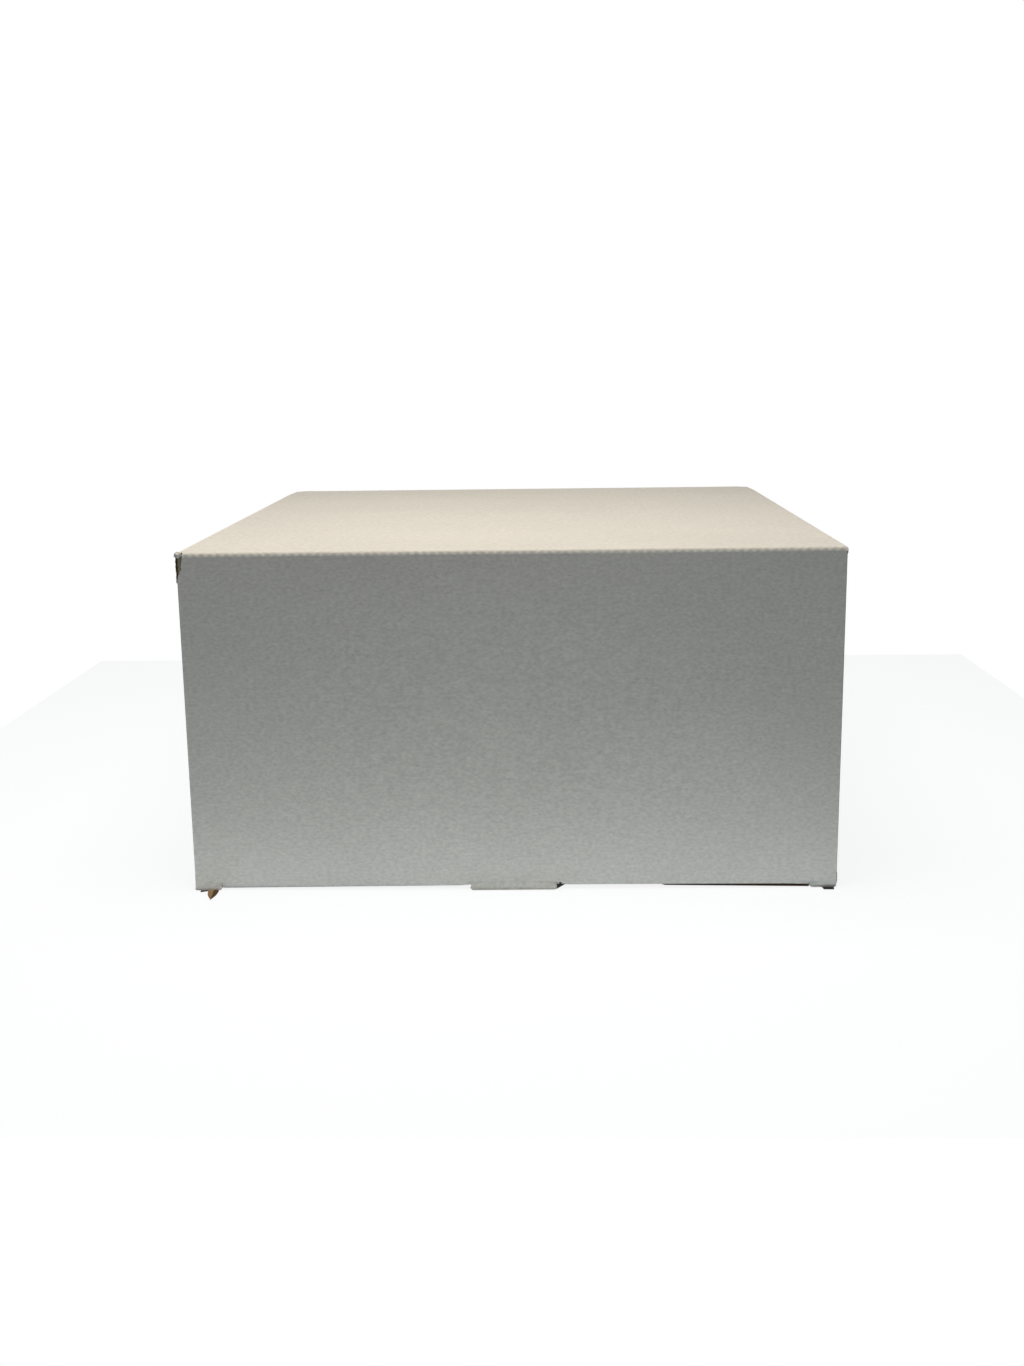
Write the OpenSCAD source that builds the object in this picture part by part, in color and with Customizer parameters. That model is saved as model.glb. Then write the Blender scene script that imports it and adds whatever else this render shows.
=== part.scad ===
// Cake box of corrugated board, closed. One die-cut sheet is folded into a tube whose seam is glued
// inside the left wall. A closure folds down from each end of the top panel, and its flap tucks in
// over the base panel. The origin is on the table under the middle of the box: X right, Y back, Z up.

/* [Box] */
// Outside width of the closed box
box_w = 260; // [200:5:360]
// Outside depth of the closed box, front closure to back closure
box_d = 260; // [200:5:360]
// Outside height of the closed box
box_h = 138; // [110:2:200]

/* [Board] */
// Thickness of the corrugated board
board_t = 1.7; // [1.5:0.1:2.2]
// Outside radius of every fold
fold_r = 1.4; // [0.9:0.1:1.4]
// Gap in the fold line between the top panel and a closure
crease_gap = 0.1; // [0.05:0.05:0.2]

/* [Seam] */
// Height of the glued flap inside the left wall
seam_flap_h = 30; // [20:1:45]
// Slant of the two ends of the seam flap, in degrees
seam_slant = 15; // [5:1:30]
// How far the seam flap stops short of the dust flaps
seam_end_gap = 6; // [3:1:20]
// Height of the left wall's cut edge above the table
seam_lift = 1.9; // [1.9:0.1:3]

/* [Closures] */
// Gap between a closure and the dust flaps behind it
closure_gap = 0.3; // [0.2:0.1:0.6]
// How far a closure stops short of the box's outside at each end
closure_inset = 0.3; // [0.1:0.1:1]
// Height of the closure's lower fold above the top of the base panel
lower_fold_gap = 0.7; // [0.4:0.1:1.5]
// Gap between the inner face of a closure and the base panel's cut edge
base_edge_gap = 1.8; // [1:0.1:4]
// Width of each lock foot, the straight cut end of the lower fold
foot_w = 10.8; // [6:0.2:20]
// Height of the feet above the table
foot_lift = 0.4; // [0.4:0.1:1]
// Radius of a foot's lower corners
foot_corner_r = 0.9; // [0.4:0.1:1.2]
// Width of the slit that parts a foot from the lower fold
slit_w = 0.8; // [0.5:0.1:1.5]
// How far the slit runs up into the closure above the lower fold
slit_h = 1.7; // [0.8:0.1:4]

/* [Finger lip] */
// Width of the finger lip in the front closure's lower fold
lip_w = 34.4; // [20:0.2:60]
// How far the lip sits to the right of the middle
lip_shift = -0.2; // [-10:0.2:10]
// Height of the lip's lower edge above the table
lip_lift = 0.2; // [0.2:0.1:1]
// Radius of the lip's lower left corner
lip_corner_r = 0.9; // [0.4:0.1:1.2]
// How far the cut flares open to the right of the lip
lip_flare = 2.8; // [1:0.2:5]

/* [Tuck flap] */
// Length of the tuck flap, measured inward from the lower fold
tuck_l = 28; // [20:1:36]
// Gap between the tuck flap's left end and the seam flap inside the wall, and the same on the right
tuck_side_gap = 0.9; // [0.5:0.1:4]
// Radius of the tuck flap's two free corners
tuck_corner_r = 14; // [6:1:18]
// Gap kept from the base panel and the dust flaps as the closure swings
swing_gap = 0.6; // [0.4:0.1:1.5]
// How far the cut behind the feet and the lip reaches in past the closure
lock_cut = 2.2; // [1:0.1:4]

/* [Dust flaps] */
// Length of a dust flap, from the side wall inward
dust_l = 92; // [60:1:97]
// Gap between a dust flap and the top panel
dust_top_gap = 1.2; // [0.6:0.1:3]
// Length of the straight shoulder beside the side wall
dust_shoulder = 14; // [8:1:30]
// How much the flap narrows below the shoulder
dust_taper = 9; // [4:1:20]
// How much the flap narrows at its upper edge
dust_top_taper = 4; // [2:1:12]
// Radius of a dust flap's free corners
dust_corner_r = 8; // [3:1:12]

/* [Damage] */
// Width of the chip at the front closure's upper left corner
chip_w = 2.9; // [1:0.1:5]
// Height of that chip
chip_h = 12; // [6:1:20]
// Width of the shred of liner that curls out under the left foot
shred_w = 4.8; // [3:0.2:7]
// How far the shred reaches forward of the box
shred_l = 11; // [5:1:20]
// Thickness of the liner in the shred
shred_t = 0.3; // [0.2:0.05:0.3]
// Distance from the left foot's outer end to the middle of the shred
shred_in = 7.6; // [4:0.1:8]
// How far the shred turns to the right, in degrees
shred_turn = 6; // [0:1:25]

/* [Hidden] */
$fn = 48;
over = 1;
arc_steps = 8;

half_w = box_w / 2;
half_d = box_d / 2;
wall_end = half_d - board_t - closure_gap;
base_end = half_d - board_t - base_edge_gap;
dust_in = wall_end - board_t;

// The swing axis of a closure lies on the fold's surface, at the middle of its arc
crease_in = fold_r * (1 - cos(45));
hinge_z = box_h - crease_in;
lower_fold_z = board_t + lower_fold_gap;
fold_c = [fold_r, lower_fold_z + fold_r];

// Rise of the tuck flap: its tip passes over the base panel with the swing gap to spare
tip_reach = hinge_z - board_t - swing_gap;
q_y = fold_c[0] - crease_in;
q_z = fold_c[1] - hinge_z;
k_sin = q_y * fold_r + q_z * tuck_l;
k_cos = q_y * tuck_l - q_z * fold_r;
k_sum = (tip_reach * tip_reach - q_y * q_y - q_z * q_z - fold_r * fold_r - tuck_l * tuck_l) / 2;
tuck_rise = 180 - asin(k_sum / sqrt(k_sin * k_sin + k_cos * k_cos)) - atan2(k_cos, k_sin);

// Direction along the tuck flap, direction out of its upper face, and its outer corners
tuck_dir = [cos(tuck_rise), sin(tuck_rise)];
tuck_up = [-sin(tuck_rise), cos(tuck_rise)];
tuck_low_tip = fold_c - fold_r * tuck_up + tuck_l * tuck_dir;
tuck_top_tip = tuck_low_tip + board_t * tuck_up;
inner_step = (board_t - fold_r) * (1 + sin(tuck_rise)) / cos(tuck_rise);
inner_corner = fold_c + (board_t - fold_r) * tuck_up + inner_step * tuck_dir;

// Lower edge of the dust flaps: just above the highest sweep of the tuck flap's upper face
top_line = fold_c + (board_t - fold_r) * tuck_up - [crease_in, hinge_z];
top_reach = abs(top_line[0] * tuck_dir[1] - top_line[1] * tuck_dir[0]);
dust_low = hinge_z - top_reach + swing_gap;
dust_high = box_h - board_t - dust_top_gap;

closure_end = half_w - closure_inset;
slit_x = closure_end - foot_w - slit_w;
tuck_end = half_w - 2 * board_t - tuck_side_gap;
lock_in = board_t + lock_cut;

// The seam flap starts this deep in the base panel, which it is folded up from
seam_root = 0.2;

// The shred's flat root: its half width, and how far it reaches forward under its curl
shred_root_half = shred_w * 0.3;
shred_root = 1.2;
table_gap = 0.05;
shred_x = shred_in - closure_end;

// Radius of the curl's hollow at its root and at its sharp tip
curl_bore = shred_w / 2 - shred_t * 0.9;
curl_tip_bore = 0.01;

// Points along an arc about c, from angle a0 to a1
function arc(c, r, a0, a1) =
    [for (i = [0 : arc_steps]) c + r * [cos(a0 + (a1 - a0) * i / arc_steps), sin(a0 + (a1 - a0) * i / arc_steps)]];

// Extrudes an outline drawn as [y, z] along X, over the span x0 to x1
module along_x(x0, x1)
    translate([x0, 0, 0])
        rotate([90, 0, 90])
            linear_extrude(height = x1 - x0)
                children();

// Extrudes an outline drawn as [x, z] along Y, over the span y0 to y1
module along_y(y0, y1)
    translate([0, y1, 0])
        rotate([90, 0, 0])
            linear_extrude(height = y1 - y0)
                children();

// What is cut from a square corner at the origin to round it, its inside toward +X and +Y
module corner_cut(r)
    difference() {
        translate([-over, -over])
            square(r + over);
        translate([r, r])
            circle(r);
    }

// Section of the tube across the box, without the seam flap
module tube_section()
    difference() {
        translate([-half_w, 0])
            square([box_w, box_h]);
        translate([board_t - half_w, board_t])
            square([box_w - 2 * board_t, box_h - 2 * board_t]);
        translate([-half_w - over, -over])
            square([board_t + over, seam_lift + over]);
        translate([board_t - half_w, 0])
            corner_cut(fold_r);
        translate([half_w, 0])
            mirror([1, 0])
                corner_cut(fold_r);
        for (side = [0, 1])
            mirror([side, 0])
                translate([-half_w, box_h])
                    mirror([0, 1])
                        corner_cut(fold_r);
    }

// The part of the tube between the dust flaps, its base panel cut back from the closures
module tube()
    difference() {
        along_y(-wall_end, wall_end)
            tube_section();
        for (side = [0, 1])
            mirror([0, side, 0])
                translate([-half_w - over, base_end, -over])
                    cube([box_w + 2 * over, board_t + closure_gap + base_edge_gap, over + board_t]);
    }

// Flap folded up from the base panel and glued inside the left wall, its ends slanted
module seam_flap() {
    low_end = dust_in - seam_end_gap;
    high_end = low_end - seam_flap_h * tan(seam_slant);
    along_x(board_t - half_w, 2 * board_t - half_w)
        polygon([
            [-low_end, board_t - seam_root],
            [low_end, board_t - seam_root],
            [high_end, seam_flap_h],
            [-high_end, seam_flap_h],
        ]);
}

// Top panel, its front and back ends mitred along the folds to the closures
module top_panel() {
    panel_end = half_d - fold_r;
    intersection() {
        along_y(-half_d, half_d)
            intersection() {
                tube_section();
                translate([-half_w, box_h - board_t])
                    square([box_w, board_t]);
            }
        along_x(-half_w, half_w)
            polygon(concat(
                [[board_t + crease_gap - half_d, box_h - board_t]],
                [[crease_in + crease_gap - half_d, hinge_z]],
                arc([-panel_end + crease_gap, box_h - fold_r], fold_r, 135, 90),
                arc([panel_end - crease_gap, box_h - fold_r], fold_r, 90, 45),
                [[half_d - board_t - crease_gap, box_h - board_t]]
            ));
    }
}

// Outline of the right-hand dust flap as [x, z], from its fold at the wall inward
module dust_outline() {
    low_in = dust_low + dust_taper;
    high_in = dust_high - dust_top_taper;
    free_x = half_w - dust_l;
    polygon(concat(
        [[half_w, dust_low]],
        [[half_w, dust_high]],
        arc([free_x + dust_corner_r, high_in - dust_corner_r], dust_corner_r, 90, 180),
        arc([free_x + dust_corner_r, low_in + dust_corner_r], dust_corner_r, 180, 270),
        [[half_w - dust_shoulder - dust_taper, low_in]],
        [[half_w - dust_shoulder, dust_low]]
    ));
}

// Dust flap folded in from the front end of the right wall
module dust_flap()
    difference() {
        along_y(-wall_end, -dust_in)
            dust_outline();
        translate([half_w, -wall_end, 0])
            mirror([1, 0, 0])
                linear_extrude(height = box_h)
                    corner_cut(fold_r);
    }

// Rounds the front vertical fold of the right wall
module wall_fold_cut()
    translate([half_w, -wall_end, dust_low])
        mirror([1, 0, 0])
            linear_extrude(height = dust_high - dust_low)
                corner_cut(fold_r);

module carton()
    color("gainsboro") {
        difference() {
            tube();
            for (turn_x = [0, 1], turn_y = [0, 1])
                mirror([turn_x, 0, 0])
                    mirror([0, turn_y, 0])
                        wall_fold_cut();
        }
        seam_flap();
        top_panel();
        for (turn_x = [0, 1], turn_y = [0, 1])
            mirror([turn_x, 0, 0])
                mirror([0, turn_y, 0])
                    dust_flap();
    }

// Face of a closure as [x, z]: the panel above the lower fold and the two feet beside the slits
module closure_face()
    difference() {
        translate([-closure_end, foot_lift])
            square([2 * closure_end, box_h - foot_lift]);
        translate([-slit_x, -over])
            square([2 * slit_x, fold_c[1] + over]);
        for (side = [0, 1])
            mirror([side, 0]) {
                translate([slit_x, -over])
                    square([slit_w, lower_fold_z + slit_h - slit_w / 2 + over]);
                translate([slit_x + slit_w / 2, lower_fold_z + slit_h - slit_w / 2])
                    circle(d = slit_w);
                translate([slit_x + slit_w, foot_lift])
                    corner_cut(foot_corner_r);
                translate([closure_end, foot_lift])
                    mirror([1, 0])
                        corner_cut(foot_corner_r);
            }
    }

// The finger lip as [x, z], which stays in the plane of the closure where the fold is cut
module lip_face()
    difference() {
        translate([lip_shift - lip_w / 2, lip_lift])
            square([lip_w, fold_c[1] - lip_lift]);
        translate([lip_shift - lip_w / 2, lip_lift])
            corner_cut(lip_corner_r);
    }

// Thickness of the closure's board as [y, z], mitred and rounded at the fold to the top panel
module closure_thickness()
    polygon(concat(
        [[board_t - half_d, 0]],
        [[board_t - half_d, box_h - board_t]],
        arc([fold_r - half_d, box_h - fold_r], fold_r, 135, 180),
        [[-half_d, 0]]
    ));

// Lower fold and tuck flap as [y, z]
module tuck_section()
    translate([-half_d, 0])
        polygon(concat(
            arc(fold_c, fold_r, 180, 270 + tuck_rise),
            [tuck_low_tip],
            [tuck_top_tip],
            [inner_corner],
            [[board_t, inner_corner[1] + board_t]],
            [[0, inner_corner[1] + board_t]]
        ));

// Tuck flap seen from above as [x, y], notched behind the feet
module tuck_plan()
    translate([0, -half_d])
        polygon(concat(
            [[-slit_x, -over]],
            [[slit_x, -over]],
            [[slit_x, lock_in]],
            [[tuck_end, lock_in]],
            arc([tuck_end - tuck_corner_r, tuck_low_tip[0] - tuck_corner_r], tuck_corner_r, 0, 90),
            arc([tuck_corner_r - tuck_end, tuck_low_tip[0] - tuck_corner_r], tuck_corner_r, 90, 180),
            [[-tuck_end, lock_in]],
            [[-slit_x, lock_in]]
        ));

// The cut behind the lip as [x, y], flared open on its right
module lip_cut_plan()
    translate([lip_shift, -half_d])
        polygon([
            [-lip_w / 2, -over],
            [lip_w / 2 + lip_flare, -over],
            [lip_w / 2, lock_in],
            [-lip_w / 2, lock_in],
        ]);

// A closure at the front: the panel that folds down, its feet, its lower fold and its tuck flap
module closure(with_lip) {
    intersection() {
        along_y(-half_d - over, board_t - half_d + over)
            closure_face();
        along_x(-half_w, half_w)
            closure_thickness();
    }
    difference() {
        intersection() {
            along_x(-half_w, half_w)
                tuck_section();
            linear_extrude(height = box_h)
                tuck_plan();
        }
        if (with_lip)
            linear_extrude(height = fold_c[1])
                lip_cut_plan();
    }
    if (with_lip)
        along_y(-half_d, board_t - half_d)
            lip_face();
}

// Chip out of the closure's upper left corner as [x, z], ragged along its inner side
module chip_outline()
    translate([-half_w, box_h])
        polygon([
            [-over, over],
            [chip_w, over],
            [chip_w * 0.95, -chip_h * 0.15],
            [chip_w * 0.72, -chip_h * 0.42],
            [chip_w * 0.78, -chip_h * 0.52],
            [chip_w * 0.3, -chip_h * 0.72],
            [0, -chip_h],
            [-over, -chip_h],
        ]);

// Shred of the inner liner, torn at the left foot's cut edge: it turns forward under the foot
// and comes out in front of the box as a tapered curl that lies on the table
module shred() {
    root_y = board_t - half_d;
    along_x(shred_x - shred_root_half, shred_x + shred_root_half) {
        translate([root_y - shred_t, table_gap])
            square([shred_t, foot_lift - table_gap]);
        translate([-half_d - shred_root, table_gap])
            square([board_t + shred_root, shred_t]);
    }
    translate([shred_x, -half_d - 2 * table_gap, table_gap])
        rotate([0, 0, shred_turn])
            difference() {
                rotate([90, 0, 0])
                    cylinder(h = shred_l, r1 = shred_w / 2, r2 = shred_t);
                translate([0, over, 0])
                    rotate([90, 0, 0])
                        cylinder(h = shred_l + over, r1 = curl_bore, r2 = curl_tip_bore);
                translate([-shred_w, -shred_l - over, -shred_w])
                    cube([2 * shred_w, shred_l + 2 * over, shred_w]);
            }
}

module front_closure()
    color("silver") {
        difference() {
            closure(with_lip = true);
            along_y(-half_d - over, board_t - half_d + over)
                chip_outline();
        }
        shred();
    }

module back_closure()
    color("silver")
        mirror([0, 1, 0])
            closure(with_lip = false);

carton();
front_closure();
back_closure();
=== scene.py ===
from math import cos, pi, radians, sin, sqrt

import bmesh
import bpy
from mathutils import Matrix, Vector, noise
from mathutils.bvhtree import BVHTree
from mathutils.geometry import interpolate_bezier


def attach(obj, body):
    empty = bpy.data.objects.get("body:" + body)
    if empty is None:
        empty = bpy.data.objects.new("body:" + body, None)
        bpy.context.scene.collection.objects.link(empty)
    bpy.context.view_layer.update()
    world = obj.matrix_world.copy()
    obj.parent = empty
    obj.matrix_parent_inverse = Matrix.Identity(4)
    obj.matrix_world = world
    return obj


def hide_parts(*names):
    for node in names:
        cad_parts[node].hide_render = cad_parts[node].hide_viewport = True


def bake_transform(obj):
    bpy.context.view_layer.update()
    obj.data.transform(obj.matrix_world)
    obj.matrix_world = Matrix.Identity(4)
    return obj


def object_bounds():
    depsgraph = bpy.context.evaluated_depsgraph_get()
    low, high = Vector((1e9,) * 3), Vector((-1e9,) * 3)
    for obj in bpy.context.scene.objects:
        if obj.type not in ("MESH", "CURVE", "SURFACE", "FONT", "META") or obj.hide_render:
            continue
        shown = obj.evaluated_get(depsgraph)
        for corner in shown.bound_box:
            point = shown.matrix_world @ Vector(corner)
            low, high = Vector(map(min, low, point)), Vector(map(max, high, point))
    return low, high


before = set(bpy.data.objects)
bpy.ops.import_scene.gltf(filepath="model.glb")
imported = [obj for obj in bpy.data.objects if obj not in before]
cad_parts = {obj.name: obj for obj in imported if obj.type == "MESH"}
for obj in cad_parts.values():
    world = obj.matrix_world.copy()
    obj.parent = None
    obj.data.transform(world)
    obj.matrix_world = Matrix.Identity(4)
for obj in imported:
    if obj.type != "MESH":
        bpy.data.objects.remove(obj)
cad_low, cad_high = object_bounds()

# Camera
# It stands a little to the right of the box's middle and looks slightly down on it. The shift
# sets how high the box sits in the picture.
CAMERA_AT = Vector((0.01402, -0.64948, 0.20834))
CAMERA_YAW = radians(1.495)
CAMERA_DOWN = radians(11.103)
CAMERA_ROLL = radians(-0.776)
CAMERA_LENS = 35.87
CAMERA_SENSOR = 36.0
CAMERA_SHIFT = -0.0384

view_data = bpy.data.cameras.new("photograph")
view_data.lens = CAMERA_LENS
view_data.sensor_width = CAMERA_SENSOR
view_data.shift_y = CAMERA_SHIFT
view = bpy.data.objects.new("photograph", view_data)
bpy.context.scene.collection.objects.link(view)
turn = Matrix.Rotation(CAMERA_YAW, 4, "Z") @ Matrix.Rotation(pi / 2 - CAMERA_DOWN, 4, "X")
view.matrix_world = Matrix.Translation(CAMERA_AT) @ turn @ Matrix.Rotation(CAMERA_ROLL, 4, "Z")
bpy.context.scene.camera = view

# Tube of the box
# Base panel, two side walls, lid and glued seam flap, with a dust flap folded in from each end of
# the walls. It is one die-cut sheet of thin corrugated board, white liner outside and brown kraft
# liner inside. Where it is cut, both liners show, with the fluted paper between them.
BOARD_T = 0.0017
LINER_T = 0.00022
EDGE_RECESS = 0.0006
FLUTE_PITCH = 0.0032
FLUTE_PAPER_T = 0.00018
FOLD_R = 0.0014
FOLD_MARGIN = 0.0004
GRID_STEP = 0.022
PANEL_LEVELS = (0.0045, 0.009, 0.0145, 0.03, 0.052, 0.074, 0.096, 0.118)
DUST_GAP = 0.0020
DUST_LOW = 0.005379
DUST_HIGH = 0.1351
DUST_FREE_X = 0.038
DUST_FLUTES_Z = (0.0235, 0.1222)
BASE_END = 0.1265
LINER_WHITE = (0.80, 0.79, 0.755, 1)
LINER_KRAFT = (0.46, 0.295, 0.155, 1)
CUT_BROWN = (0.34, 0.225, 0.13, 1)
SPECK_GREY = (0.36, 0.34, 0.31, 1)
WHITE_X, KRAFT_X, CUT, WHITE_Z, KRAFT_Z = range(5)

half_w = cad_high.x
half_d = cad_high.y
box_h = cad_high.z
middle = Vector((0, 0, box_h / 2))


def node_in(tree, kind, **settings):
    """Adds a node to a tree. Settings name its properties, or its inputs by number as in_0."""
    made = tree.nodes.new(kind)
    for key, value in settings.items():
        if key.startswith("in_"):
            made.inputs[int(key[3:])].default_value = value
        else:
            setattr(made, key, value)
    return made


def maths(tree, operation, first, second):
    """A Math node of two values, each a number or a socket."""
    made = tree.nodes.new("ShaderNodeMath")
    made.operation = operation
    for place, value in enumerate((first, second)):
        if isinstance(value, (int, float)):
            made.inputs[place].default_value = value
        else:
            tree.links.new(value, made.inputs[place])
    return made.outputs[0]


def paper_group():
    """How the liners' paper varies: a fibrous mottle, sparse dark specks, and the flutes showing through."""
    tree = bpy.data.node_groups.new("paper", "ShaderNodeTree")
    sockets = (
        ("Point", "INPUT", "NodeSocketVector"),
        ("Grain", "INPUT", "NodeSocketVector"),
        ("Across", "INPUT", "NodeSocketFloat"),
        ("Mottle", "INPUT", "NodeSocketFloat"),
        ("Washboard", "INPUT", "NodeSocketFloat"),
        ("Tone", "OUTPUT", "NodeSocketFloat"),
        ("Speck", "OUTPUT", "NodeSocketFloat"),
        ("Height", "OUTPUT", "NodeSocketFloat"),
    )
    for name, way, kind in sockets:
        tree.interface.new_socket(name, in_out=way, socket_type=kind)
    given = tree.nodes.new("NodeGroupInput")
    out = tree.nodes.new("NodeGroupOutput")
    along_grain = node_in(tree, "ShaderNodeVectorMath", operation="MULTIPLY")
    tree.links.new(given.outputs["Point"], along_grain.inputs[0])
    tree.links.new(given.outputs["Grain"], along_grain.inputs[1])

    def paper_noise(scale, detail):
        made = node_in(tree, "ShaderNodeTexNoise")
        made.inputs["Scale"].default_value = scale
        made.inputs["Detail"].default_value = detail
        made.inputs["Roughness"].default_value = 0.65
        tree.links.new(along_grain.outputs[0], made.inputs["Vector"])
        return maths(tree, "SUBTRACT", made.outputs[0], 0.5)

    fibres = paper_noise(900, 2)
    flocks = paper_noise(260, 2)
    clouds = paper_noise(16, 2)
    fine = maths(tree, "ADD", fibres, maths(tree, "MULTIPLY", flocks, 0.22))
    mottle = maths(tree, "MULTIPLY", fine, given.outputs["Mottle"])
    broad = maths(tree, "MULTIPLY", clouds, 0.13)
    tone = maths(tree, "ADD", maths(tree, "ADD", mottle, broad), 1)
    tree.links.new(tone, out.inputs["Tone"])

    cells = node_in(tree, "ShaderNodeTexVoronoi")
    cells.inputs["Scale"].default_value = 95
    tree.links.new(given.outputs["Point"], cells.inputs["Vector"])
    chance = node_in(tree, "ShaderNodeSeparateColor")
    tree.links.new(cells.outputs["Color"], chance.inputs[0])
    size = maths(tree, "MULTIPLY", maths(tree, "SUBTRACT", chance.outputs[0], 0.45), 0.055)
    inside = maths(tree, "SUBTRACT", size, cells.outputs["Distance"])
    tree.links.new(maths(tree, "MULTIPLY", inside, 60), out.inputs["Speck"])

    turns = maths(tree, "MULTIPLY", given.outputs["Across"], 2 * pi / FLUTE_PITCH)
    wave = maths(tree, "SINE", turns, 0)
    ridges = maths(tree, "MULTIPLY", wave, given.outputs["Washboard"])
    nap = maths(tree, "MULTIPLY", fibres, 0.00003)
    tree.links.new(maths(tree, "ADD", ridges, nap), out.inputs["Height"])
    return tree


def paper_material(name, colour, across, mottle, washboard, roughness):
    """A liner or the cut edge. across is the axis over which its flutes repeat, X or Z."""
    made = bpy.data.materials.new(name)
    made.use_nodes = True
    tree = made.node_tree
    shader = tree.nodes["Principled BSDF"]
    shader.inputs["Specular IOR Level"].default_value = 0.12
    place = tree.nodes.new("ShaderNodeTexCoord")
    split = tree.nodes.new("ShaderNodeSeparateXYZ")
    tree.links.new(place.outputs["Object"], split.inputs[0])
    paper = node_in(tree, "ShaderNodeGroup", node_tree=PAPER)
    tree.links.new(place.outputs["Object"], paper.inputs["Point"])
    tree.links.new(split.outputs[across], paper.inputs["Across"])
    paper.inputs["Grain"].default_value = (0.6, 1, 1) if across == "X" else (1, 1, 0.6)
    paper.inputs["Mottle"].default_value = mottle
    paper.inputs["Washboard"].default_value = washboard
    toned = node_in(tree, "ShaderNodeVectorMath", operation="SCALE")
    toned.inputs[0].default_value = colour[:3]
    tree.links.new(paper.outputs["Tone"], toned.inputs["Scale"])
    specked = node_in(tree, "ShaderNodeMix", data_type="RGBA", clamp_factor=True)
    specked.inputs["B"].default_value = SPECK_GREY
    tree.links.new(paper.outputs["Speck"], specked.inputs["Factor"])
    tree.links.new(toned.outputs[0], specked.inputs["A"])
    tree.links.new(specked.outputs["Result"], shader.inputs["Base Color"])
    rough = maths(tree, "MULTIPLY", paper.outputs["Tone"], roughness)
    tree.links.new(rough, shader.inputs["Roughness"])
    bump = node_in(tree, "ShaderNodeBump")
    bump.inputs["Distance"].default_value = 1
    tree.links.new(paper.outputs["Height"], bump.inputs["Height"])
    tree.links.new(bump.outputs[0], shader.inputs["Normal"])
    return made


PAPER = paper_group()
BOARD_FINISH = (
    paper_material("white_liner", LINER_WHITE, "X", 0.54, 0.000006, 0.85),
    paper_material("kraft_liner", LINER_KRAFT, "X", 0.55, 0.00002, 0.88),
    paper_material("cut_board", CUT_BROWN, "X", 0.7, 0, 0.95),
    paper_material("white_liner_upright", LINER_WHITE, "Z", 0.54, 0.000006, 0.85),
    paper_material("kraft_liner_upright", LINER_KRAFT, "Z", 0.55, 0.00002, 0.88),
)


def cut_across(bm, axis, places):
    """Cuts the mesh across an axis at each place, so that panels can bow and folds shade softly."""
    for place in places:
        point, normal = Vector(), Vector()
        point[axis], normal[axis] = place, 1
        whole = [*bm.verts, *bm.edges, *bm.faces]
        bmesh.ops.bisect_plane(bm, geom=whole, dist=1e-7, plane_co=point, plane_no=normal)


def trim_beyond(bm, axis, place):
    """Cuts away what lies beyond a place on an axis, and closes the board's end there."""
    point, normal = Vector(), Vector()
    point[axis], normal[axis] = place, 1 if place > 0 else -1
    whole = [*bm.verts, *bm.edges, *bm.faces]
    cut = bmesh.ops.bisect_plane(
        bm, geom=whole, dist=1e-7, plane_co=point, plane_no=normal, clear_outer=True
    )
    rim = [item for item in cut["geom_cut"] if isinstance(item, bmesh.types.BMEdge)]
    bmesh.ops.holes_fill(bm, edges=rim)


def board_from(node):
    """A merged copy of a CAD node's mesh, its flat stretches as whole faces."""
    bm = bmesh.new()
    bm.from_mesh(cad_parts[node].data)
    bmesh.ops.remove_doubles(bm, verts=bm.verts, dist=1e-6)
    bmesh.ops.dissolve_limit(bm, angle_limit=radians(0.5), verts=bm.verts, edges=bm.edges)
    return bm


def paint_board(bm, upright):
    """Gives each face its liner, or the cut edge where the board is much thicker than one sheet
    behind it. upright says whether a face's flutes repeat over Z."""
    inside = BVHTree.FromBMesh(bm)
    for face in bm.faces:
        spot = face.calc_center_bounds()
        longest = max(edge.calc_length() for edge in face.edges)
        fold = longest > 0.02 and face.calc_area() / longest < 0.0006
        start = spot - face.normal * 1e-5
        depth = inside.ray_cast(start, -face.normal)[3] or 1
        outward = face.normal.dot(spot - middle) > 0
        lifted = upright(face)
        if depth > 2.2 * BOARD_T and not fold:
            face.material_index = CUT
        elif outward:
            face.material_index = WHITE_Z if lifted else WHITE_X
        else:
            face.material_index = KRAFT_Z if lifted else KRAFT_X


def open_cut_edges(bm):
    """Leaves the two liners standing at each cut edge, and sinks the middle between them."""
    cuts = [face for face in bm.faces if face.material_index == CUT]
    rims = bmesh.ops.inset_region(bm, faces=cuts, thickness=LINER_T, use_boundary=True)
    for face in rims["faces"]:
        beside = [
            near.material_index
            for edge in face.edges
            for near in edge.link_faces
            if near.material_index != CUT
        ]
        face.material_index = beside[0] if beside else CUT
    bmesh.ops.inset_region(bm, faces=cuts, thickness=0, depth=-EDGE_RECESS, use_boundary=True)


def join_in(bm, part):
    """Puts a part into a mesh, and frees the part."""
    carrier = bpy.data.meshes.new("carrier")
    part.to_mesh(carrier)
    part.free()
    bm.from_mesh(carrier)
    bpy.data.meshes.remove(carrier)


def add_flutes(bm, start, along, out, length):
    """Adds the fluted paper that shows in a cut across it, over a length from start."""
    waves = max(2, round(length / FLUTE_PITCH))
    swing = BOARD_T / 2 - LINER_T - FLUTE_PAPER_T / 2
    run = bmesh.new()
    bmesh.ops.create_grid(run, x_segments=waves * 8, y_segments=1, size=0.5)
    for vert in run.verts:
        height = swing * sin(2 * pi * waves * vert.co.x)
        vert.co = ((vert.co.x + 0.5) * length, (vert.co.y - 0.6) * EDGE_RECESS, height)
    bmesh.ops.solidify(run, geom=run.faces[:], thickness=FLUTE_PAPER_T)
    for face in run.faces:
        face.material_index = CUT
    turned = Matrix((along, out, along.cross(out))).transposed().to_4x4()
    run.transform(Matrix.Translation(start) @ turned)
    join_in(bm, run)


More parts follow.
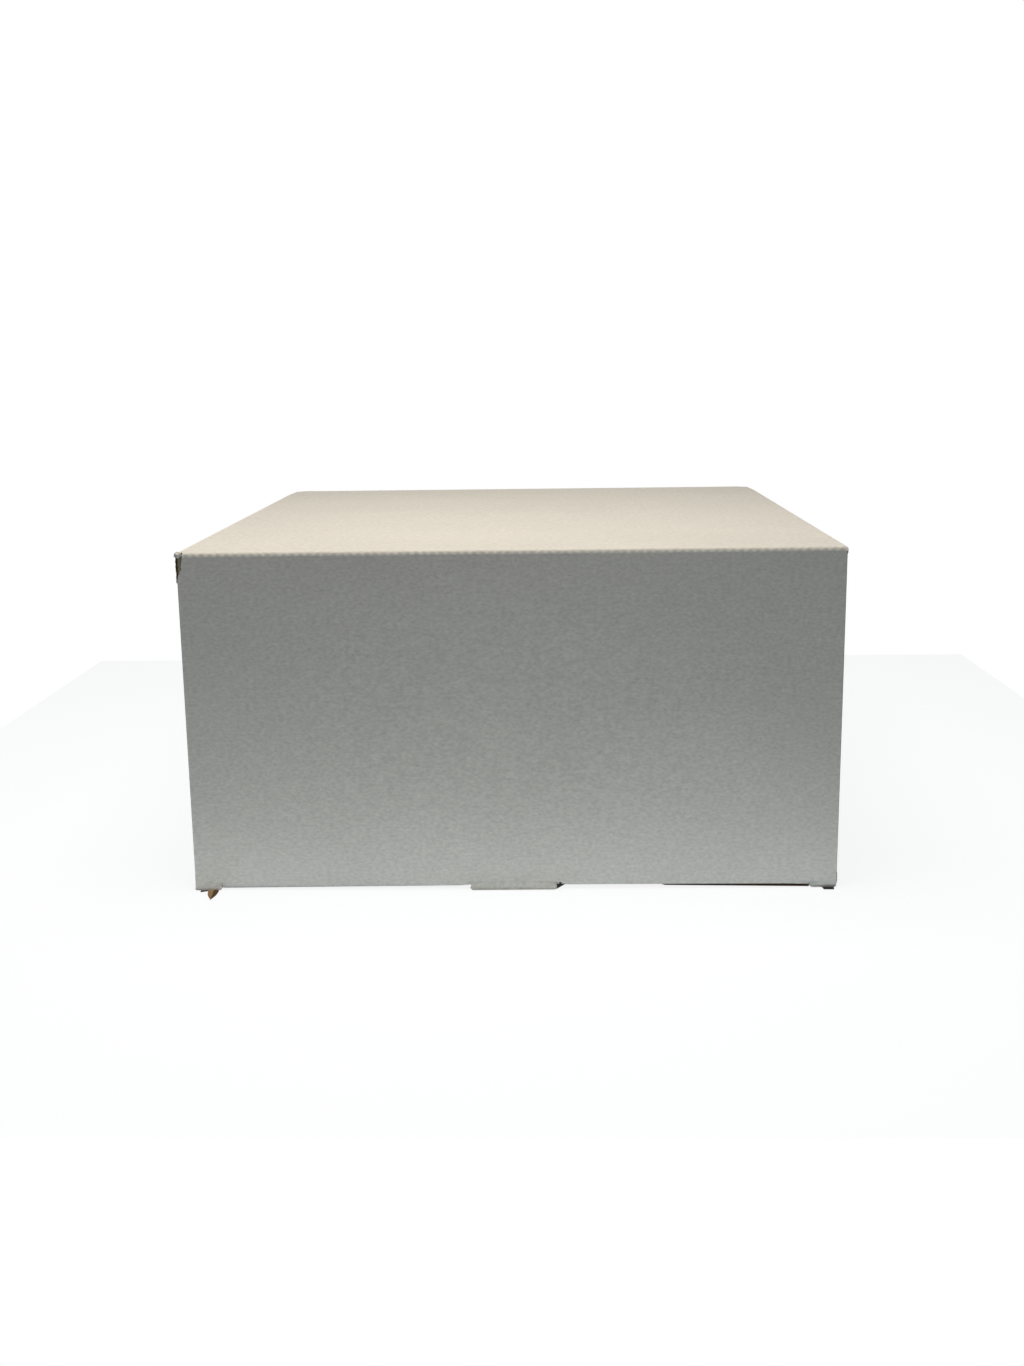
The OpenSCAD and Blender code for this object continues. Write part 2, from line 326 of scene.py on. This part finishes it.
def grid_cuts(bm):
    """Cuts the board into a grid, with a cut just past each fold."""
    for axis, reach in enumerate((half_w, half_d)):
        count = round(2 * reach / GRID_STEP)
        even = [reach * (2 * step / count - 1) for step in range(1, count)]
        near_folds = [side * (reach - FOLD_R - FOLD_MARGIN) for side in (-1, 1)]
        cut_across(bm, axis, even + near_folds)
    cut_across(bm, 2, [*PANEL_LEVELS, box_h - FOLD_R - FOLD_MARGIN])


WALL_BOW = 0.0006
END_BOW = 0.0004
LID_SAG = 0.0005
BACK_CORNER = 0.009
BACK_CORNER_WORN = 0.0011


def settle(point):
    """Where a point of the true box lies in the used one: its walls and ends bow out, its lid sags,
    and the lid's back corners are rounded off."""
    x, y, z = point
    across, back, up = cos(pi * x / 2 / half_w), cos(pi * y / 2 / half_d), sin(pi * z / box_h)
    moved = Vector(point)
    moved.x += WALL_BOW * (x / half_w) ** 5 * back * up
    moved.y += END_BOW * (y / half_d) ** 5 * across * up
    moved.z -= LID_SAG * max(0, z / box_h) ** 9 * across * back
    back_corner = Vector((half_w * (1 if x > 0 else -1), half_d, box_h))
    reach = (back_corner - moved).length
    if reach < BACK_CORNER:
        worn = BACK_CORNER_WORN * (1 - reach / BACK_CORNER) ** 2
        moved += (middle - moved).normalized() * worn
    return moved


def finish_piece(name, bm, body=None, stands_for=(), moved=settle, finishes=BOARD_FINISH):
    """Makes a mesh piece of the box from a bmesh, lets it settle, and gives it its finishes."""
    for vert in bm.verts:
        vert.co = moved(vert.co)
    mesh = bpy.data.meshes.new(name)
    bm.to_mesh(mesh)
    bm.free()
    for finish in finishes:
        mesh.materials.append(finish)
    mesh.shade_smooth()
    mesh.set_sharp_from_angle(angle=radians(32))
    piece = bpy.data.objects.new(name, mesh)
    bpy.context.scene.collection.objects.link(piece)
    if body:
        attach(piece, body)
    if stands_for:
        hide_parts(*stands_for)
    return piece


BASE_CUT_REACH = 0.004
BASE_CUT_BACK = 0.0038
BASE_CUT_FORWARD = 0.0018
BASE_STEP = (0.0565, 0.0610, 0.1186, 0.1192)


def rise(low, high, value):
    """0 up to low, 1 from high, and straight between."""
    return min(1, max(0, (value - low) / (high - low)))


def tube_settle(point):
    """As settle does, with the base panel's front cut set back at the left, and slanting forward to the
    right foot from the step in it."""
    moved = settle(point)
    if point.z < BOARD_T + 0.0001:
        step_start, step_end, slant_end, foot = BASE_STEP
        near_cut = rise(-BASE_CUT_REACH, 0, -BASE_END - point.y)
        slant = rise(step_end, slant_end, point.x) * (1 - rise(slant_end, foot, point.x))
        moved.y += near_cut * BASE_CUT_BACK * (1 - rise(step_start, step_end, point.x))
        moved.y -= near_cut * BASE_CUT_FORWARD * slant
    return moved


tube = board_from("carton")
trim_beyond(tube, 1, half_d - BOARD_T)
trim_beyond(tube, 1, BOARD_T - half_d)
cut_across(tube, 2, (DUST_LOW, DUST_HIGH, box_h - BOARD_T))
cut_across(tube, 0, (BOARD_T - half_w, half_w - BOARD_T, *BASE_STEP))
paint_board(tube, lambda face: abs(face.normal.z) < 0.7)
open_cut_edges(tube)
# The lower liner rim of the base panel's front cut is painted cut brown rather than white: painted shade in
# the gap under the front closure's lower fold.
for face in tube.faces:
    spot = face.calc_center_bounds()
    if face.normal.y < -0.9 and abs(spot.y + BASE_END) < 0.0002 and spot.z < LINER_T:
        face.material_index = CUT
grid_cuts(tube)
for end in (-1, 1):
    out = Vector((0, end, 0))
    along = Vector((-end, 0, 0))
    span = 2 * (half_w - BOARD_T)
    base_cut = Vector((end * span / 2, end * BASE_END, BOARD_T / 2))
    add_flutes(tube, base_cut, along, out, span)
    for side in (-1, 1):
        low, high = DUST_FLUTES_Z
        flap_y = end * (half_d - DUST_GAP - BOARD_T / 2)
        free_edge = Vector((side * DUST_FREE_X, flap_y, low))
        add_flutes(tube, free_edge, Vector((0, 0, 1)), Vector((-side, 0, 0)), high - low)
finish_piece("box_tube", tube, "carton", ("carton",), tube_settle)

# Front closure
# The panel that folds down from the lid's front edge, with its two lock feet, its finger lip, its
# lower fold and the flap that tucks in over the base. It is the same board, its flutes upright. Its
# lower fold has sunk, most at the left, and the lip and the left foot stand a little forward.
CLOSURE_END = 0.1297
LOWER_FOLD_Z = 0.0024
TUCK_RISE = radians(6.215)
TUCK_L = 0.028
TUCK_FLUTES = 0.1105
FOOT_LIFT = 0.0004
FOOT_W = 0.0108
FOOT_FLUTES = 0.8
LIP_X = -0.0002
LIP_W = 0.0344
LIP_LIFT = 0.0002
LIP_FLUTES = 0.9
LIP_EDGE = 0.0003
SLIT_X = 0.1185
SLIT_TOP = 0.0041
SLIT_REACH = (0.0006, 0.004)
SLIT_EDGE = 0.0005
SAG_END = 0.014
SAG_DEPTH = (-0.1295, -0.112)
FOLD_SAG = 0.0010
FOLD_SAG_LEFT = 0.0010
SAG_LEFT_END = 0.03
SLIT_SAG = 0.0011
SLIT_CLOSED = 0.6
LIP_FORWARD = 0.0019
LIP_BEND = 0.006
LIP_SLOPE = 0.0002
LIP_FLARE = 0.0006
LIP_SIDE = 0.0014
LIP_TAPER = 0.0004
FOOT_FORWARD = 0.0013
FOOT_BEND = 0.009
FOOT_PRESSED = 0.0003
PRESS_BEND = 0.006
EDGE_CRUSH = 0.0005
EDGE_CRUSH_LEFT = 0.6
CRUSH_W = 0.004
FOOT_CUT_X = 0.1165
FOOT_CUT_Z = 0.020


def front_settle(point):
    """As settle does, with the lower fold sunk, the lip and the left foot forward, and the outer liner
    crushed back along the closure's two ends and the lip's right side."""
    moved = settle(point)
    x, y, z = point
    front_share = rise(-BOARD_T, 0, -half_d - y)
    in_panel = y < BOARD_T - half_d + 1e-5
    in_lip = in_panel and abs(x - LIP_X) < LIP_W / 2 + LIP_EDGE
    in_foot = abs(x) > SLIT_X
    sag = FOLD_SAG + FOLD_SAG_LEFT * (1 - rise(-SLIT_X, SAG_LEFT_END, x)) ** 1.2
    near_slit = 1 - rise(*SLIT_REACH, abs(x - SLIT_X))
    sag += SLIT_SAG * near_slit * rise(LOWER_FOLD_Z, SLIT_TOP, z)
    sag *= 1 - rise(SLIT_TOP, SAG_END, z)
    if in_lip or in_foot or z < LOWER_FOLD_Z - 0.0002:
        sag *= rise(FOOT_LIFT, SLIT_TOP, z)
    moved.z -= sag * (1 - rise(*SAG_DEPTH, y))
    if in_lip:
        low_share = 1 - rise(0, LOWER_FOLD_Z + FOLD_R, z)
        moved.y -= LIP_FORWARD * (1 - rise(0, LIP_BEND, z)) ** 2
        moved.z += LIP_SLOPE * rise(-LIP_W / 2, LIP_W / 2, x) * low_share
        if x > LIP_X + LIP_W / 2 - LIP_EDGE:
            moved.x += LIP_FLARE - (LIP_SIDE - LIP_TAPER * low_share) * front_share
    if x < -SLIT_X:
        moved.y -= FOOT_FORWARD * (1 - rise(0, FOOT_BEND, z)) ** 2
    if in_foot:
        pressed = sin(pi * rise(SLIT_X, CLOSURE_END, abs(x)))
        moved.z -= FOOT_PRESSED * pressed * (1 - rise(0, PRESS_BEND, z))
    to_slit = SLIT_X - abs(x)
    if abs(to_slit) < SLIT_EDGE and z < SLIT_TOP + 0.0001:
        moved.x += SLIT_CLOSED * to_slit * (1 if x > 0 else -1)
    if in_panel:
        at_end = rise(CLOSURE_END - CRUSH_W, CLOSURE_END, abs(x))
        moved.x -= EDGE_CRUSH * at_end * front_share * (1 if x > 0 else -EDGE_CRUSH_LEFT)
    return moved


def part_of(bm, *limits):
    """A copy of the part of a mesh past each limit, given as its axis, its place and its side."""
    part = bm.copy()
    for axis, place, side in limits:
        point, normal = Vector(), Vector()
        point[axis], normal[axis] = place, -side
        whole = [*part.verts, *part.edges, *part.faces]
        bmesh.ops.bisect_plane(
            part, geom=whole, dist=1e-7, plane_co=point, plane_no=normal, clear_outer=True
        )
    return part


def closure_board(node):
    """The board of one closure, cut off below its crease. Both feet are made from the right one."""
    bm = board_from(node)
    trim_beyond(bm, 2, box_h - BOARD_T)
    board = part_of(bm, (0, -FOOT_CUT_X, 1))
    over_foot = part_of(bm, (0, -FOOT_CUT_X, -1), (2, FOOT_CUT_Z, 1))
    foot = part_of(bm, (0, FOOT_CUT_X, 1), (2, FOOT_CUT_Z, -1))
    bmesh.ops.scale(foot, vec=(-1, 1, 1), verts=foot.verts)
    bmesh.ops.reverse_faces(foot, faces=foot.faces)
    join_in(board, over_foot)
    join_in(board, foot)
    bm.free()
    bmesh.ops.remove_doubles(board, verts=board.verts, dist=2e-6)
    bmesh.ops.dissolve_limit(board, angle_limit=radians(0.5), verts=board.verts, edges=board.edges)
    paint_board(board, lambda face: False)
    return board


def fold_and_tuck(bm, side):
    """Opens a closure's cut edges and adds the flutes along its tuck flap's free edge."""
    open_cut_edges(bm)
    grid_cuts(bm)
    inward = Vector((0, -side * cos(TUCK_RISE), sin(TUCK_RISE)))
    fold_middle = Vector((0, side * (half_d - FOLD_R), LOWER_FOLD_Z + FOLD_R))
    up = Vector((0, side * sin(TUCK_RISE), cos(TUCK_RISE)))
    tip = fold_middle + up * (BOARD_T / 2 - FOLD_R) + inward * TUCK_L
    tuck_start = tip + Vector((side * TUCK_FLUTES, 0, 0))
    add_flutes(bm, tuck_start, Vector((-side, 0, 0)), inward, 2 * TUCK_FLUTES)
    panel_y = side * (half_d - BOARD_T / 2)
    for foot in (-1, 1):
        centre = foot * (CLOSURE_END - FOOT_W / 2)
        start = Vector((centre - FOOT_W * FOOT_FLUTES / 2, panel_y, FOOT_LIFT))
        add_flutes(bm, start, Vector((1, 0, 0)), Vector((0, 0, -1)), FOOT_W * FOOT_FLUTES)


front = closure_board("front_closure")
for face in front.faces:
    spot = face.calc_center_bounds()
    at_side = abs(face.normal.x) > 0.9 and abs(abs(spot.x - LIP_X) - LIP_W / 2) < LIP_EDGE
    if at_side and spot.z < LOWER_FOLD_Z + FOLD_R:
        face.material_index = WHITE_X
fold_and_tuck(front, -1)
add_flutes(
    front,
    Vector((LIP_X - LIP_W * LIP_FLUTES / 2, -half_d + BOARD_T / 2, LIP_LIFT)),
    Vector((1, 0, 0)),
    Vector((0, 0, -1)),
    LIP_W * LIP_FLUTES,
)
finish_piece("front_closure_board", front, "front_closure", ("front_closure",), front_settle)

# Back closure
# The panel that folds down from the lid's back edge, with its two lock feet and its tuck flap. It
# is cut from the same board as the front one, and sits as it was folded.
back = closure_board("back_closure")
fold_and_tuck(back, 1)
finish_piece("back_closure_board", back, "back_closure", ("back_closure",))

# Creases between the lid and the closures
# The same sheet, bent over a scored line. The white liner runs round the outside, dented by the
# flutes under it, and the kraft liner is pinched in the corner.
CREASE_WAVE = 0.00022
CREASE_ROWS = 12
CREASE_PULL = (0.00145, 0.00100)
CREASE_BULGE = 0.00004
PINCH = 0.00004
CHIP_W = 0.0029


def crease(name, side, left):
    """The bend's two liners, as two pieces that turn between the lid and a closure. The outer one
    turns sharply at the lid and eases into the closure."""
    lid_end = Vector((0, side * (half_d - BOARD_T), box_h))
    closure_end = Vector((0, side * half_d, box_h - BOARD_T))
    lid_pull = Vector((0, side * CREASE_PULL[0], 0))
    closure_pull = Vector((0, -side * CREASE_BULGE, CREASE_PULL[1]))
    bend = interpolate_bezier(
        lid_end, lid_end + lid_pull, closure_end + closure_pull, closure_end, CREASE_ROWS + 1
    )
    width = CLOSURE_END - left
    flutes = round(width / FLUTE_PITCH)
    outer = bmesh.new()
    bmesh.ops.create_grid(outer, x_segments=flutes * 6, y_segments=CREASE_ROWS, size=0.5)
    for vert in outer.verts:
        x = left + (vert.co.x + 0.5) * width
        turn_s = vert.co.y + 0.5
        y, z = bend[round(turn_s * CREASE_ROWS)].yz
        past = max(0, abs(x) - half_w + FOLD_R)
        z -= (FOLD_R - sqrt(FOLD_R**2 - past**2)) * (1 - turn_s)
        dent = CREASE_WAVE * sin(pi * turn_s) * (1 + sin(2 * pi * x / FLUTE_PITCH)) / 2
        vert.co = (x, y - side * dent, z - dent)
    outer.normal_update()
    bmesh.ops.recalc_face_normals(outer, faces=outer.faces)
    if sum(face.normal.z for face in outer.faces) < 0:
        bmesh.ops.reverse_faces(outer, faces=outer.faces)
    bmesh.ops.solidify(outer, geom=outer.faces[:], thickness=LINER_T)
    strip = finish_piece(name, outer)
    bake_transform(strip)

    corner = Vector((0, side * (half_d - BOARD_T), box_h - BOARD_T))
    downhill = Vector((0, side, -1)).normalized()
    inner = bmesh.new()
    bmesh.ops.create_grid(inner, x_segments=40, y_segments=CREASE_ROWS, size=0.5)
    for vert in inner.verts:
        x = left + (vert.co.x + 0.5) * width
        vert.co = Vector((x, 0, 0)) + corner + downhill * PINCH * vert.co.y
    inner.normal_update()
    for face in inner.faces:
        face.material_index = KRAFT_X
    bmesh.ops.solidify(inner, geom=inner.faces[:], thickness=LINER_T)
    pinch = finish_piece(name + "_inside", inner)
    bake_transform(pinch)


crease("front_crease", -1, CHIP_W - half_w)
crease("back_crease", 1, -CLOSURE_END)

# Worn corner
# The closure's upper left corner is worn through: its white liner is gone there, down to crushed
# grey-brown fluting, and a crumpled lump of the liner stands at the corner of the lid.
CHIP_H = 0.012
CHIP_TOP = 0.0016
CHIP_EDGE = ((0, 1.0), (0.15, 0.95), (0.42, 0.72), (0.52, 0.78), (0.72, 0.30), (1.0, 0.02))
CHIP_OVERLAP = 0.0004
TORN_FACE = 0.0009
TORN_T = 0.0005
TORN_WAVE = 0.0002
TORN_PITCH = 0.0021
TORN_ROUGH = 0.0003
DARK_EDGE_X = -0.1291
TORN_GREY = (0.46, 0.42, 0.32, 1)
# Dark brown: painted shade on the shred's right half, and the darker left strip of the torn fluting.
SHADE_BROWN = (0.13, 0.085, 0.045, 1)
# Near-black grey for the patches that stand for the shade in the gaps under the closure: painted shade.
SHADE_GREY = (0.05, 0.05, 0.048, 1)
LUMP_AT = Vector((-0.12885, -0.12900, 0.13715))
LUMP_R = Vector((0.00140, 0.00125, 0.00130))
LUMP_CRUMPLE = 0.30
LUMP_CREASES = 0.16
WEAR_AND_SHADE_FINISH = (
    *BOARD_FINISH,
    paper_material("crushed_fluting", TORN_GREY, "X", 1.1, 0.00001, 0.95),
    paper_material("shade_brown_paper", SHADE_BROWN, "X", 1.1, 0, 0.95),
    paper_material("shade_grey_paper", SHADE_GREY, "X", 0.6, 0, 0.95),
)
CRUSHED, SHADE_BROWN_SLOT, SHADE_GREY_SLOT = 5, 6, 7

patch = bmesh.new()
bmesh.ops.create_grid(patch, x_segments=10, y_segments=28, size=0.5)
for vert in patch.verts:
    across = vert.co.x + 0.5
    down = CHIP_TOP + (0.5 - vert.co.y) * (CHIP_H - CHIP_TOP)
    share = down / CHIP_H
    for (low, low_w), (high, high_w) in zip(CHIP_EDGE, CHIP_EDGE[1:]):
        if low <= share <= high:
            width = CHIP_W * (low_w + (high_w - low_w) * rise(low, high, share))
    vert.co.x = -half_w + 0.0001 + across * (width + CHIP_OVERLAP)
    vert.co.z = box_h - down
    flute = TORN_WAVE * sin(2 * pi * (vert.co.x + half_w) / TORN_PITCH)
    rough = TORN_ROUGH * noise.noise(Vector((vert.co.x, 0, vert.co.z)) * 900)
    vert.co.y = -half_d + TORN_FACE + flute + rough
bmesh.ops.recalc_face_normals(patch, faces=patch.faces)
if sum(face.normal.y for face in patch.faces) > 0:
    bmesh.ops.reverse_faces(patch, faces=patch.faces)
bmesh.ops.solidify(patch, geom=patch.faces[:], thickness=TORN_T)
# The torn fluting's leftmost strip is darker brown than the rest of it.
for face in patch.faces:
    face.material_index = CRUSHED if face.calc_center_bounds().x > DARK_EDGE_X else SHADE_BROWN_SLOT
finish_piece("torn_fluting", patch, "front_closure", finishes=WEAR_AND_SHADE_FINISH)

lump = bmesh.new()
bmesh.ops.create_icosphere(lump, subdivisions=4, radius=1)
for vert in lump.verts:
    crumple = LUMP_CRUMPLE * noise.noise(vert.co * 1.7 + Vector((5.3, 0.4, 2.2)))
    crumple += LUMP_CREASES * noise.noise(vert.co * 4.1)
    vert.co = LUMP_AT + vert.co * (1 + crumple) * LUMP_R
finish_piece("torn_liner", lump, "carton", finishes=WEAR_AND_SHADE_FINISH)

# Shred, and patches of painted shade under the closure
# A tongue of kraft liner has torn loose at the left foot and lies out on the table, curled over a
# ridge; its right half is painted dark brown as painted shade on its steep right side. Small
# near-black patches under the feet, in the left slit and by the lip are painted shade there.
SHRED_BACK = -0.1284
SHRED_ROOT = -0.1303
SHRED_TIP = -0.1409
SHRED_LEFT = -0.1240
SHRED_RIGHT = -0.11985
SHRED_TIP_X = -0.12087
SHRED_T = 0.00022
SHRED_RISE = 0.0008
SHRED_LOW = 0.00005
SHRED_BELLY = 0.00035
SHRED_WRINKLE = 0.00006
RIDGE_ROOT = 0.57
RIDGE_DRIFT = 0.2
SHADE_PATCH_T = 0.00025
SHADE_PATCH_LIFT = Vector((0, 0, 0.0003))

shred = bmesh.new()
bmesh.ops.create_grid(shred, x_segments=16, y_segments=26, size=0.5)
for vert in shred.verts:
    across = vert.co.x + 0.5
    y = SHRED_BACK + (0.5 - vert.co.y) * (SHRED_TIP - SHRED_BACK)
    out = rise(0, SHRED_ROOT - SHRED_TIP, SHRED_ROOT - y)
    left = SHRED_LEFT + (SHRED_TIP_X - SHRED_LEFT) * out**2.2
    right = SHRED_RIGHT + SHRED_BELLY * sin(pi * out) + (SHRED_TIP_X - SHRED_RIGHT) * out**3
    ridge = RIDGE_ROOT + RIDGE_DRIFT * out
    turn_s = across / ridge if across < ridge else 1 + (across - ridge) / (1 - ridge)
    height = SHRED_LOW * (1 - out) + SHRED_RISE * sin(pi * out**1.3)
    wrinkle = SHRED_WRINKLE * noise.noise(Vector((across * 3, y * 900, 0)))
    z = SHRED_T + 0.0001 + (height + wrinkle * out) * sin(pi / 2 * turn_s)
    vert.co = (left + (right - left) * across, y, z)
bmesh.ops.remove_doubles(shred, verts=shred.verts, dist=2e-6)
bmesh.ops.recalc_face_normals(shred, faces=shred.faces)
if sum(face.normal.z for face in shred.faces) < 0:
    bmesh.ops.reverse_faces(shred, faces=shred.faces)
# Past its ridge, the shred's right half is painted dark brown as painted shade on its steep right side; its
# left half keeps the kraft liner.
for face in shred.faces:
    spot = face.calc_center_median()
    out = rise(0, SHRED_ROOT - SHRED_TIP, SHRED_ROOT - spot.y)
    ridge_x = SHRED_LEFT + (SHRED_RIGHT - SHRED_LEFT) * (RIDGE_ROOT + RIDGE_DRIFT * out)
    ridge_x += (SHRED_TIP_X - ridge_x) * out**2.2
    face.material_index = SHADE_BROWN_SLOT if spot.x > ridge_x else KRAFT_X
bmesh.ops.solidify(shred, geom=shred.faces[:], thickness=SHRED_T)
finish_piece("liner_shred", shred, "front_closure", finishes=WEAR_AND_SHADE_FINISH)

# Near-black patches, painted shade: under the left foot, under the right foot, beside the lip's right side
# and behind the left slit.
SHADE_PATCH_SHAPES = (
    ((-0.1272, -0.1296, 0), (-0.1270, -0.1325, 0), (-0.1241, -0.1314, 0), (-0.1241, -0.1296, 0)),
    ((0.1237, -0.1292, 0), (0.1240, -0.1320, 0), (0.1281, -0.1320, 0), (0.1285, -0.1292, 0)),
    ((0.0172, -0.1307, -0.0001), (0.0209, -0.1298, 0.0018), (0.0172, -0.1298, 0.0018)),
    (
        (-0.1191, -0.1279, 0.001),
        (-0.1178, -0.1279, 0.001),
        (-0.1178, -0.1279, 0.003),
        (-0.1191, -0.1279, 0.003),
    ),
)
shade_patches = bmesh.new()
for corners in SHADE_PATCH_SHAPES:
    lifted = [shade_patches.verts.new(Vector(corner) + SHADE_PATCH_LIFT) for corner in corners]
    shade_patch = shade_patches.faces.new(lifted)
    shade_patch.normal_update()
    if shade_patch.normal.z - shade_patch.normal.y < 0:
        shade_patch.normal_flip()
bmesh.ops.subdivide_edges(shade_patches, edges=shade_patches.edges[:], cuts=5, fractal=0.25, seed=3)
bmesh.ops.triangulate(shade_patches, faces=shade_patches.faces[:])
bmesh.ops.solidify(shade_patches, geom=shade_patches.faces[:], thickness=SHADE_PATCH_T)
for face in shade_patches.faces:
    face.material_index = SHADE_GREY_SLOT
finish_piece("painted_shade_patches", shade_patches, "front_closure", finishes=WEAR_AND_SHADE_FINISH)

# Table and background
# A plain white sheet under the box, which catches its shadow, in front of a white background.
TABLE_HALF = 0.31
TABLE_WHITE = (0.78, 0.86, 0.95, 1)
TABLE_SHOW = 0.75
TABLE_GLOW = 1.16
DIM_TINT = (0.755, 0.893, 1.0, 1)
DIM_LEVEL = 0.115

floor_mesh = bpy.data.meshes.new("table")
floor_bm = bmesh.new()
bmesh.ops.create_grid(floor_bm, x_segments=1, y_segments=1, size=TABLE_HALF)
floor_bm.to_mesh(floor_mesh)
floor_bm.free()
floor = bpy.data.objects.new("table", floor_mesh)
bpy.context.scene.collection.objects.link(floor)
table_finish = bpy.data.materials.new("table_sheet")
table_finish.use_nodes = True
tree = table_finish.node_tree
tree.nodes.clear()
matt = node_in(tree, "ShaderNodeBsdfDiffuse", in_0=TABLE_WHITE)
glow = node_in(tree, "ShaderNodeEmission", in_0=(1, 1, 1, 1), in_1=TABLE_GLOW)
seen = tree.nodes.new("ShaderNodeLightPath")
share = maths(tree, "MULTIPLY", seen.outputs["Is Camera Ray"], TABLE_SHOW)
both = tree.nodes.new("ShaderNodeMixShader")
tree.links.new(share, both.inputs[0])
tree.links.new(matt.outputs[0], both.inputs[1])
tree.links.new(glow.outputs[0], both.inputs[2])
surface = tree.nodes.new("ShaderNodeOutputMaterial")
tree.links.new(both.outputs[0], surface.inputs[0])
floor_mesh.materials.append(table_finish)

world = bpy.data.worlds.new("studio")
world.use_nodes = True
bpy.context.scene.world = world
tree = world.node_tree
tree.nodes.clear()
dim = node_in(tree, "ShaderNodeBackground", in_0=DIM_TINT, in_1=DIM_LEVEL)
white = node_in(tree, "ShaderNodeBackground", in_0=(1, 1, 1, 1), in_1=1.0)
seen = tree.nodes.new("ShaderNodeLightPath")
either = maths(tree, "MAXIMUM", seen.outputs["Is Camera Ray"], seen.outputs["Is Glossy Ray"])
either = maths(tree, "MAXIMUM", either, seen.outputs["Is Transmission Ray"])
both = tree.nodes.new("ShaderNodeMixShader")
tree.links.new(either, both.inputs[0])
tree.links.new(dim.outputs[0], both.inputs[1])
tree.links.new(white.outputs[0], both.inputs[2])
surface = tree.nodes.new("ShaderNodeOutputWorld")
tree.links.new(both.outputs[0], surface.inputs[0])

# Lamps
# A soft warm lamp over the lid's front edge, and the light that the table throws up along the
# closure.
OVERHEAD_AT = Vector((-0.035, -0.130, 0.60))
OVERHEAD_POWER = 2.35
OVERHEAD_TINT = (1.0, 0.902, 0.772)
TABLE_LIGHT_AT = Vector((0, -0.1605, 0.001))
TABLE_LIGHT_POWER = 0.0265
TABLE_LIGHT_TINT = (0.945, 1.0, 0.964)


def lamp(name, place, aim, size, power, tint):
    """A soft area lamp that the camera doesn't see."""
    data = bpy.data.lights.new(name, "AREA")
    data.shape = "RECTANGLE"
    data.size, data.size_y = size
    data.energy = power
    data.color = tint
    made = bpy.data.objects.new(name, data)
    bpy.context.scene.collection.objects.link(made)
    made.location = place
    made.rotation_mode = "QUATERNION"
    made.rotation_quaternion = (aim - place).to_track_quat("-Z", "Y")
    made.visible_camera = False


overhead_aim = Vector((OVERHEAD_AT.x, OVERHEAD_AT.y, 0))
lamp("overhead", OVERHEAD_AT, overhead_aim, (0.40, 0.40), OVERHEAD_POWER, OVERHEAD_TINT)
table_aim = TABLE_LIGHT_AT + Vector((0, 0, 1))
lamp("table_light", TABLE_LIGHT_AT, table_aim, (0.32, 0.06), TABLE_LIGHT_POWER, TABLE_LIGHT_TINT)

bpy.context.scene.view_settings.view_transform = "Standard"
